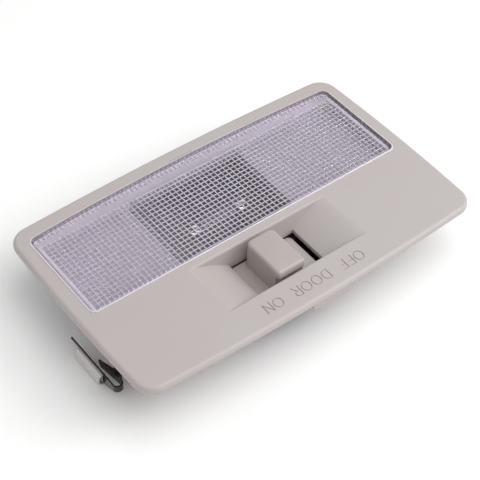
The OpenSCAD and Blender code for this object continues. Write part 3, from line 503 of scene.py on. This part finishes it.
def build_lens(lens, material):
    """The clear cover.

    Its underside is a grid of points whose height drops by the product of two cell profiles, with a plain
    band and V-shaped ribs along the far side. The skirt, its snap bead and the rounded top edge are rings of
    the outline with an inset and a height each, and the flat top closes the last ring. The haze attribute is
    high on the grooves between the prisms, on the top edge, where its matt white paints a highlight line, and
    in ticks up the skirt, and less elsewhere.
    """
    top, foot = LENS_HIGH.z, LENS_LOW.z
    under = top - lens.wall - ROOT_DROP
    count_x = 2 * int((LENS_HIGH.x - lens.skirt_wall - SIDE_MARGIN) / lens.pitch)
    first_y = LENS_LOW.y + lens.skirt_wall + NEAR_MARGIN
    field_far = LENS_HIGH.y - lens.bow - lens.skirt_wall - FAR_MARGIN
    count_y = int(round((field_far - first_y) / lens.pitch))
    last_y = first_y + count_y * lens.pitch
    steps_x = cell_steps(count_x, lens)
    steps_y = cell_steps(count_y, lens)
    x = (steps_x - count_x / 2) * lens.pitch

    prisms = lens.depth * cell_profile(steps_y, lens)[:, None] * cell_profile(steps_x, lens)[None, :]
    field_y = np.broadcast_to((first_y + steps_y * lens.pitch)[:, None], prisms.shape)
    edge_y = LENS_HIGH.y - lens.bow * (x / LENS_HIGH.x) ** 2 - lens.skirt_wall
    band_y = last_y + BAND_ROWS[:, None] * (edge_y - last_y)[None, :]
    ribs = lens.rib_depth * BAND_RIBBED[:, None] * (1 - 2 * from_crown(steps_x))[None, :]
    rows = len(steps_y) + len(BAND_ROWS) + 2
    columns = len(steps_x) + 2
    grid = np.empty((rows, columns, 3))
    grid[1:-1, 1:-1, 0] = x
    grid[1:-1, 1:-1, 1] = np.vstack([field_y, band_y])
    grid[1:-1, 1:-1, 2] = under - np.vstack([prisms, ribs])
    haze = np.zeros((rows, columns))
    haze[1:-1, 1:-1] = lens_haze(x, steps_x, steps_y, count_y, lens)

    index = np.arange(rows * columns).reshape(rows, columns)
    rim = ring_edge(index)
    loop_x = ring_edge(np.broadcast_to(np.linspace(-1, 1, columns), (rows, columns)))
    loop_y = ring_edge(np.broadcast_to(np.linspace(-1, 1, rows)[:, None], (rows, columns)))
    inner_x, inner_y = lens_outline(loop_x, loop_y, lens.skirt_wall, lens)
    flat = grid.reshape(-1, 3)
    flat[rim] = np.stack([inner_x, inner_y, np.full(len(rim), under)], axis=-1)
    ticks = tick_mark(np.where(np.abs(loop_y) > LONG_EDGE, inner_x, inner_y - first_y) / lens.pitch)
    ticks *= np.where((loop_y < FAINT_SIDE) | (loop_x < FAINT_SIDE), FAINT_TICKS, 1)
    haze.reshape(-1)[rim] = RIM_HAZE + RIM_TICKS * ticks

    radius = lens.edge_radius
    bead = foot + BEAD_RIDGE
    rings = [(lens.skirt_wall, foot), (0, foot)]
    rings += [(0, bead - BEAD_HALF), (-BEAD_REACH, bead), (0, bead + BEAD_HALF)]
    for turn in np.radians(SMALL_ROUND):
        rings.append((radius * (1 - math.cos(turn)), top - radius * (1 - math.sin(turn))))
    rings.append((radius + TOP_RING, top))
    # The rounding's haze paints a bright highlight line along the top edge
    rounding = [np.full(len(rim), EDGE_HIGHLIGHT_HAZE)] * (len(SMALL_ROUND) - 1)
    hazes = [share * ticks for share in RING_TICKS] + rounding + [np.zeros(len(rim))]
    loops = [rim]
    points = [flat]
    for number, (inset, z) in enumerate(rings):
        ring_x, ring_y = lens_outline(loop_x, loop_y, inset, lens)
        points.append(np.stack([ring_x, ring_y, np.full(len(rim), z)], axis=-1))
        loops.append(len(flat) + number * len(rim) + np.arange(len(rim)))
    wrapped = np.array([np.append(loop, loop[0]) for loop in loops])
    faces = np.vstack([grid_faces(index), grid_faces(wrapped)])[:, ::-1].tolist() + [loops[-1].tolist()]
    piece = new_piece(
        "prism_lens", np.vstack(points).tolist(), faces, material, "light", ["lens"]
    )
    haze_values = piece.data.attributes.new(HAZE_ATTRIBUTE, "FLOAT", "POINT").data
    haze_values.foreach_set("value", np.concatenate([haze.ravel()] + hazes))
    piece.data.shade_smooth()
    piece.data.set_sharp_from_angle(angle=SHARP_ANGLE)
    return piece


# The knob's foot plate: its corner radius and the bevel of its upper edge
PLATE_CORNER = 2 * MM
PLATE_EDGE = 0.3 * MM
# Share of the draft that is reached at the lip, and height over which the near face steps back under it
LIP_DRAFT = 0.1
LIP_STEP = 0.3 * MM
# Rings over the crown, as shares of the way from its edge to the middle
CROWN_SHARES = (0.35, 0.6, 0.85)
# Points of a corner, and the largest share of a half side that a corner may take
CORNER_POINTS = 9
LARGEST_CORNER = 0.9


def rounded_loop(half_x, half_y, near_r, far_r):
    """A rectangle with rounded corners, once round from the +X side towards +Y: four arcs of a circle."""
    corners = [(1, 1, far_r, 0), (-1, 1, far_r, 90), (-1, -1, near_r, 180), (1, -1, near_r, 270)]
    arcs = []
    for side_x, side_y, radius, start in corners:
        radius = min(radius, LARGEST_CORNER * half_x, LARGEST_CORNER * half_y)
        centre = (side_x * (half_x - radius), side_y * (half_y - radius))
        arcs.append(arc(centre, (radius, radius), start, start + 90, CORNER_POINTS))
    return np.vstack(arcs)


def build_knob(knob, material):
    """The switch knob on its foot plate, hollow from below.

    Rings of a rounded rectangle, each with an inset and a height, follow one profile: down the hollow's wall,
    out under the foot plate, in over it, up a fillet and the drafted side, round the top edge and over the
    crown. Under the lip the rings' near side is cut off by a straight line.
    """
    low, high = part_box("switch_knob")
    centre = (low + high) / 2
    plate_top = low.z + knob.plate
    lip_z = high.z - knob.lip_height
    edge_z = high.z - knob.crown
    half = np.array([knob.length, knob.width]) / 2
    plate_half = np.array([high.x - low.x, high.y - low.y]) / 2

    def ring(inset, z, cut=False):
        reach = half - inset
        near_r = max(knob.near_radius - inset, LEAST_RADIUS)
        loop = rounded_loop(*reach, near_r, max(knob.far_radius - inset, LEAST_RADIUS))
        if cut:
            loop[:, 1] = np.maximum(loop[:, 1], knob.lip_depth - reach[1])
        return np.column_stack([loop, np.full(len(loop), z)])

    def plate_ring(inset, z):
        loop = rounded_loop(*(plate_half - inset), PLATE_CORNER, PLATE_CORNER)
        return np.column_stack([loop, np.full(len(loop), z)])

    root = knob.root_radius
    edge = knob.edge_radius
    lip_inset = -LIP_DRAFT * knob.draft
    rings = [ring(knob.wall, high.z - knob.wall, True), ring(knob.wall, low.z, True), plate_ring(0, low.z)]
    rings += [plate_ring(0, plate_top - PLATE_EDGE), plate_ring(PLATE_EDGE, plate_top)]
    for turn in np.radians(SMALL_ROUND):
        out = knob.draft + root * (1 - math.sin(turn))
        rings.append(ring(-out, plate_top + root * (1 - math.cos(turn)), True))
    rings += [ring(lip_inset, lip_z - LIP_STEP, True), ring(lip_inset, lip_z)]
    for turn in np.radians(LARGE_ROUND):
        rings.append(ring(edge * (1 - math.cos(turn)), edge_z - edge * (1 - math.sin(turn))))
    for share in CROWN_SHARES:
        rings.append(ring(edge + share * (half[0] - edge), edge_z + knob.crown * (1 - (1 - share) ** 2)))
    points = np.vstack(rings) + np.array([centre.x, centre.y, 0])
    index = np.arange(len(points)).reshape(len(rings), -1)
    faces = grid_faces(np.column_stack([index, index[:, 0]])).tolist()
    faces += [index[0, ::-1].tolist(), index[-1].tolist()]
    piece = new_piece(
        "rounded_knob", points.tolist(), faces, material, "switch", ["switch_knob"]
    )
    piece.data.shade_smooth()
    piece.data.set_sharp_from_angle(angle=KNOB_SHARP_ANGLE)
    return piece


# Middle of each switch word along X, how far the letters' cutter stands over the face plate, and the distance
# at which the plate's loose points are merged
WORD_PLACES = {"ON": -17.5 * MM, "DOOR": -0.3 * MM, "OFF": 18.3 * MM}
CUT_ABOVE = 1 * MM
MERGE_WITHIN = 0.001 * MM


def letter(name):
    """Width and strokes of a capital one unit high. A stroke is its points and whether it closes."""
    if name == "O":
        return 0.85, [(arc((0.425, 0.5), (0.39, 0.46), 0, 352.5, 47), True)]
    if name == "D":
        bowl = arc((0.28, 0.5), (0.38, 0.46), -90, 90, 24)
        return 0.7, [(np.vstack([[0.04, 0.04], bowl, [0.04, 0.96]]), True)]
    if name == "R":
        bowl = arc((0.38, 0.73), (0.22, 0.23), 90, -90)
        return 0.65, [
            (np.array([[0.04, 0.0], [0.04, 1.0]]), False),
            (np.vstack([[0.0, 0.96], bowl, [0.0, 0.5]]), False),
            (np.array([[0.32, 0.5], [0.62, 0.0]]), False),
        ]
    if name == "F":
        return 0.58, [
            (np.array([[0.04, 0.0], [0.04, 1.0]]), False),
            (np.array([[0.0, 0.96], [0.56, 0.96]]), False),
            (np.array([[0.0, 0.52], [0.46, 0.52]]), False),
        ]
    # N, the only other letter
    return 0.68, [
        (np.array([[0.04, 0.0], [0.04, 1.0]]), False),
        (np.array([[0.02, 0.98], [0.66, 0.02]]), False),
        (np.array([[0.64, 0.0], [0.64, 1.0]]), False),
    ]


def stroke_solid(path, closed, width, low, high):
    """A bar of rectangular section along a flat path: the path pushed out to each side along its normals."""
    if closed:
        along = np.roll(path, -1, axis=0) - np.roll(path, 1, axis=0)
    else:
        along = np.gradient(path, axis=0)
    along = along / np.linalg.norm(along, axis=1)[:, None]
    out = np.stack([along[:, 1], -along[:, 0]], axis=-1) * width / 2
    corners = [(path + out, low), (path + out, high), (path - out, high), (path - out, low)]
    points = np.stack([np.column_stack([p, np.full(len(p), z)]) for p, z in corners], axis=1).reshape(-1, 3)
    index = np.arange(len(path) * 4).reshape(len(path), 4)
    wrapped = np.column_stack([index, index[:, 0]])
    if closed:
        return points, grid_faces(np.vstack([wrapped, wrapped[:1]]))[:, ::-1].tolist()
    return points, grid_faces(wrapped)[:, ::-1].tolist() + [index[0].tolist(), index[-1, ::-1].tolist()]


def words_solid(words):
    """Cutter for the switch words, which read from the far side: a bar for each stroke of each letter."""
    base_y = FACE_LOW.y + words.baseline
    low = FACE_HIGH.z - words.depth
    high = FACE_HIGH.z + CUT_ABOVE
    points, faces, start = [], [], 0
    for word, middle in WORD_PLACES.items():
        letters = [letter(name) for name in word]
        widths = [width * words.height for width, _ in letters]
        pen = -(sum(widths) + words.gap * (len(word) - 1)) / 2
        for (_, strokes), width in zip(letters, widths):
            for path, closed in strokes:
                turned = np.array([middle, base_y]) - (path * words.height + np.array([pen, 0]))
                bar, bar_faces = stroke_solid(turned, closed, words.stroke, low, high)
                points.append(bar)
                faces += [[i + start for i in face] for face in bar_faces]
                start += len(bar)
            pen += width + words.gap
    return np.vstack(points), faces


def finished_mesh(piece):
    """Turns a piece's modifiers into plain mesh."""
    bpy.context.view_layer.update()
    shaped = bpy.data.meshes.new_from_object(piece.evaluated_get(bpy.context.evaluated_depsgraph_get()))
    piece.modifiers.clear()
    piece.data = shaped


def build_face(words, material):
    """The face plate with its words sunk in: a merged copy of the part's mesh, cut by the letters' bars."""
    points, faces = words_solid(words)
    cutter_mesh = bpy.data.meshes.new("word_cutter")
    cutter_mesh.from_pydata(points.tolist(), [], faces)
    cutter = bpy.data.objects.new("word_cutter", cutter_mesh)
    bpy.context.scene.collection.objects.link(cutter)
    mesh = NODES["bezel"].data.copy()
    piece = bpy.data.objects.new("face_plate", mesh)
    bpy.context.scene.collection.objects.link(piece)
    merge = piece.modifiers.new("merge", "WELD")
    merge.merge_threshold = MERGE_WITHIN
    cut = piece.modifiers.new("words", "BOOLEAN")
    cut.operation = "DIFFERENCE"
    cut.solver = "EXACT"
    cut.use_self = True
    cut.object = cutter
    finished_mesh(piece)
    bpy.data.objects.remove(cutter)
    shaped = piece.data
    shaped.materials.clear()
    shaped.materials.append(material)
    # The part's own normals no longer fit the merged and cut mesh
    for stale in ("custom_normal", "sharp_edge", "sharp_face"):
        if stale in shaped.attributes:
            shaped.attributes.remove(shaped.attributes[stale])
    shaped.shade_smooth()
    shaped.set_sharp_from_angle(angle=SHARP_ANGLE)
    even = piece.modifiers.new("even", "WEIGHTED_NORMAL")
    even.keep_sharp = True
    even.weight = 50
    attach(piece, "light")
    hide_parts("bezel")
    return piece


class DOMELIGHT_OT_face(bpy.types.Operator):
    """Makes the face plate with its sunk words"""

    bl_idname = "domelight.face"
    bl_label = "Face Plate"

    def execute(self, context):
        finish = context.scene.dome_finish
        # ABS, moulded in a spark-eroded tool: an even satin with a grain too fine to see from a step away
        abs_plastic = moulded_plastic(
            "grained_abs_grey", finish.face, finish.face_cool, shade_mm=45, grain_mm=0.35,
            grain_depth_mm=0.012, gloss=(0.42, 0.52), ior=1.53, edge_mm=finish.edge_softness / MM,
        )
        build_face(context.scene.dome_words, abs_plastic)
        return {"FINISHED"}


class DOMELIGHT_OT_lens(bpy.types.Operator):
    """Makes the prismatic lens"""

    bl_idname = "domelight.lens"
    bl_label = "Lens"

    def execute(self, context):
        lens = context.scene.dome_lens
        # Polycarbonate, polished tool: clear with a faint lavender tint, waves from the melt's flow
        polycarbonate = clear_moulding(
            "clear_polycarbonate", lens.tint, ior=1.585, wave_mm=6, gloss=(0.03, 0.08), frost=lens.frost,
            haze=lens.haze,
        )
        build_lens(lens, polycarbonate)
        return {"FINISHED"}


class DOMELIGHT_OT_knob(bpy.types.Operator):
    """Makes the switch knob"""

    bl_idname = "domelight.knob"
    bl_label = "Switch Knob"

    def execute(self, context):
        # ABS with a polished top: smoother than the face plate, soft highlights along its fillets
        satin = moulded_plastic(
            "satin_abs_knob", context.scene.dome_finish.knob, linear("#A7A09C"), shade_mm=12, grain_mm=0.25,
            grain_depth_mm=0.006, gloss=(0.3, 0.4), ior=1.53, edge_mm=0.3,
        )
        dress(satin, "switch_knob")
        build_knob(context.scene.dome_knob, satin)
        return {"FINISHED"}


class DOMELIGHT_OT_plastics(bpy.types.Operator):
    """Gives the plastic parts their finishes"""

    bl_idname = "domelight.plastics"
    bl_label = "Plastic Parts"

    def execute(self, context):
        finish = context.scene.dome_finish
        # Filled polypropylene, pale so that it spreads the bulb's light; its shades are painted darker, as the
        # shade under the lens
        polypropylene = moulded_plastic(
            "pale_polypropylene", finish.tray, linear("#928D92"), shade_mm=20, grain_mm=0.6,
            grain_depth_mm=0.01, gloss=(0.45, 0.6), ior=1.49, edge_mm=0.4,
        )
        dress(polypropylene, "reflector")
        # Glass-filled PBT, which bears the bulb's heat: dull, with a coarse flow grain; painted near black as
        # the shade inside the closed chamber under the lens
        pbt = moulded_plastic(
            "dark_pbt_housing", finish.housing, linear("#211929"), shade_mm=15, grain_mm=0.8,
            grain_depth_mm=0.02, gloss=(0.5, 0.68), ior=1.55, edge_mm=0.3,
        )
        dress(pbt, "lamp_body")
        # Acetal: slippery, black, with a dull sheen
        acetal = moulded_plastic(
            "black_acetal", linear("#2A292C"), linear("#343236"), shade_mm=8, grain_mm=0.5,
            grain_depth_mm=0.008, gloss=(0.32, 0.45), ior=1.48, edge_mm=0.2,
        )
        dress(acetal, "slider_carriage")
        return {"FINISHED"}


class DOMELIGHT_OT_metals(bpy.types.Operator):
    """Gives the metal parts and the bulb their finishes"""

    bl_idname = "domelight.metals"
    bl_label = "Metal Parts and Bulb"

    def execute(self, context):
        # Spring steel strip: its dark shades are painted reflections of dark surroundings, and the light band
        # on the barb is a painted reflection; fine streaks along the strip
        spring_steel = rolled_metal(
            "spring_steel_painted_reflections", linear("#625C5A"), linear("#453F3E"), streak_mm=0.15, length_mm=6,
            gloss=(0.18, 0.34), edge_mm=0.15, painted_reflection=(linear("#D9D4D2"), 74.2, 75.2),
        )
        dress(spring_steel, "spring_clip_left", "spring_clip_right")
        # Zinc-plated steel, slightly cloudy
        zinc_plate = rolled_metal(
            "zinc_plated_steel", linear("#B4B7BC"), linear("#9A9CA4"), streak_mm=0.3, length_mm=3,
            gloss=(0.25, 0.4), edge_mm=0.15,
        )
        dress(zinc_plate, "clip_screws", "body_screws")
        # Brass strip, stamped: warm, with tarnish
        brass = rolled_metal(
            "stamped_brass", linear("#8F8060"), linear("#6A5E48"), streak_mm=0.15, length_mm=5,
            gloss=(0.2, 0.36), edge_mm=0.1,
        )
        dress(brass, "feed_terminal", "common_terminal", "door_contact", "ground_contact", "moving_contact")
        # Nickel-plated brass caps, bright
        nickel_plate = rolled_metal(
            "nickel_plate", linear("#CFCBC0"), linear("#B2AEA4"), streak_mm=0.2, length_mm=3,
            gloss=(0.12, 0.24), edge_mm=0.2,
        )
        dress(nickel_plate, "bulb_cap_left", "bulb_cap_right")
        # Drawn wire and a ground ball, grey and even
        drawn_wire = rolled_metal(
            "drawn_wire", linear("#A2A3A8"), linear("#85868C"), streak_mm=0.08, length_mm=1,
            gloss=(0.25, 0.4), edge_mm=0.05,
        )
        dress(drawn_wire, "bulb_filament", "detent_spring", "detent_ball")
        # Lamp glass, blown: clear and thin, with faint waves
        lamp_glass = clear_moulding("lamp_glass", linear("#FAFCFC"), ior=1.5, wave_mm=4, gloss=(0.0, 0.02))
        dress(lamp_glass, "bulb_glass")
        return {"FINISHED"}


# Half the side of the floor, the point of the face that the camera looks at, and the lamps: where they stand,
# their sides, and the point that both face
FLOOR_HALF = 1.5
CAMERA_TARGET = (-8.1 * MM, -7.6 * MM, FACE_HIGH.z)
KEY_PLACE = (0.5, -0.4, 0.5)
KEY_SIDE = 0.35
OVERHEAD_PLACE = (0.15, -0.2, 0.9)
OVERHEAD_SIDE = 0.8
LAMP_AIM = (0, 0, 0.02)


class DOMELIGHT_OT_studio(bpy.types.Operator):
    """Sets the floor, the lamps and the camera"""

    bl_idname = "domelight.studio"
    bl_label = "Studio"

    def execute(self, context):
        stage = context.scene.dome_stage
        build_floor()
        place_camera(stage)
        soft_lamp("key", KEY_PLACE, LAMP_AIM, KEY_SIDE, stage.key)
        soft_lamp("overhead", OVERHEAD_PLACE, LAMP_AIM, OVERHEAD_SIDE, stage.overhead)
        surround(stage.surround)
        context.scene.view_settings.view_transform = "Standard"
        return {"FINISHED"}


def build_floor():
    """A pale square of paper under the light, with a faint fibre."""
    corners = [(-FLOOR_HALF, -FLOOR_HALF, 0), (FLOOR_HALF, -FLOOR_HALF, 0)]
    corners += [(FLOOR_HALF, FLOOR_HALF, 0), (-FLOOR_HALF, FLOOR_HALF, 0)]
    mesh = bpy.data.meshes.new("floor")
    mesh.from_pydata(corners, [], [(0, 1, 2, 3)])
    floor = bpy.data.objects.new("floor", mesh)
    bpy.context.scene.collection.objects.link(floor)
    # Paper, uncoated: matt and white, with a fibre drawn 3 mm coarse so that it shows
    material, tree, place = new_material("white_paper")
    fibre = add(
        tree, "ShaderNodeTexNoise", {"Vector": place, "Scale": per_metre(3), "Detail": 3.0}
    ).outputs["Fac"]
    colour = blend_colours(tree, fibre, linear("#FBFBFB"), linear("#F7F7F6"))
    shader = add(tree, "ShaderNodeBsdfPrincipled", {"Base Color": colour, "Roughness": 0.9})
    add(tree, "ShaderNodeOutputMaterial", {"Surface": shader.outputs["BSDF"]})
    mesh.materials.append(material)


def place_camera(stage):
    """The camera looks at a point of the face from its distance, azimuth and elevation, and is rolled."""
    level = math.cos(stage.elevation)
    back = Vector(
        (-math.sin(stage.azimuth) * level, -math.cos(stage.azimuth) * level, math.sin(stage.elevation))
    )
    data = bpy.data.cameras.new("camera")
    data.lens = stage.focal
    camera = bpy.data.objects.new("camera", data)
    bpy.context.scene.collection.objects.link(camera)
    turn = back.to_track_quat("Z", "Y").to_matrix().to_4x4() @ Matrix.Rotation(stage.roll, 4, "Z")
    camera.matrix_world = Matrix.Translation(Vector(CAMERA_TARGET) + back * stage.distance) @ turn
    bpy.context.scene.camera = camera


def soft_lamp(name, place, target, side, power):
    """A square area lamp that faces a point."""
    data = bpy.data.lights.new(name, "AREA")
    data.size = side
    data.energy = power
    lamp = bpy.data.objects.new(name, data)
    bpy.context.scene.collection.objects.link(lamp)
    away = Vector(place) - Vector(target)
    lamp.matrix_world = Matrix.Translation(place) @ away.to_track_quat("Z", "Y").to_matrix().to_4x4()


def surround(strength):
    """An even white surround."""
    world = bpy.data.worlds.new("surround")
    world.use_nodes = True
    background = world.node_tree.nodes["Background"]
    background.inputs["Color"].default_value = (1, 1, 1, 1)
    background.inputs["Strength"].default_value = strength
    bpy.context.scene.world = world


class DOMELIGHT_PT_panel(bpy.types.Panel):
    """Lists the light's pieces and the studio"""

    bl_idname = "DOMELIGHT_PT_panel"
    bl_label = "Dome Light"
    bl_space_type = "VIEW_3D"
    bl_region_type = "UI"
    bl_category = "Dome Light"

    def draw(self, context):
        layout = self.layout
        for group in SETTINGS:
            settings = getattr(context.scene, group)
            column = layout.column(align=True)
            for name in settings.__annotations__:
                column.prop(settings, name)
        for operator in OPERATORS:
            layout.operator(operator.bl_idname)


SETTINGS = {
    "dome_lens": DomeLensSettings,
    "dome_words": DomeWordSettings,
    "dome_knob": DomeKnobSettings,
    "dome_finish": DomeFinishSettings,
    "dome_stage": DomeStageSettings,
}
OPERATORS = [
    DOMELIGHT_OT_face,
    DOMELIGHT_OT_lens,
    DOMELIGHT_OT_knob,
    DOMELIGHT_OT_plastics,
    DOMELIGHT_OT_metals,
    DOMELIGHT_OT_studio,
]


def register():
    for name, group in SETTINGS.items():
        bpy.utils.register_class(group)
        setattr(bpy.types.Scene, name, bpy.props.PointerProperty(type=group))
    for cls in OPERATORS + [DOMELIGHT_PT_panel]:
        bpy.utils.register_class(cls)


def unregister():
    for cls in OPERATORS + [DOMELIGHT_PT_panel]:
        bpy.utils.unregister_class(cls)
    for name, group in SETTINGS.items():
        delattr(bpy.types.Scene, name)
        bpy.utils.unregister_class(group)


def main():
    register()
    bpy.ops.domelight.face()
    bpy.ops.domelight.lens()
    bpy.ops.domelight.knob()
    bpy.ops.domelight.plastics()
    bpy.ops.domelight.metals()
    bpy.ops.domelight.studio()
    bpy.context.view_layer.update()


if __name__ == "__main__":
    main()
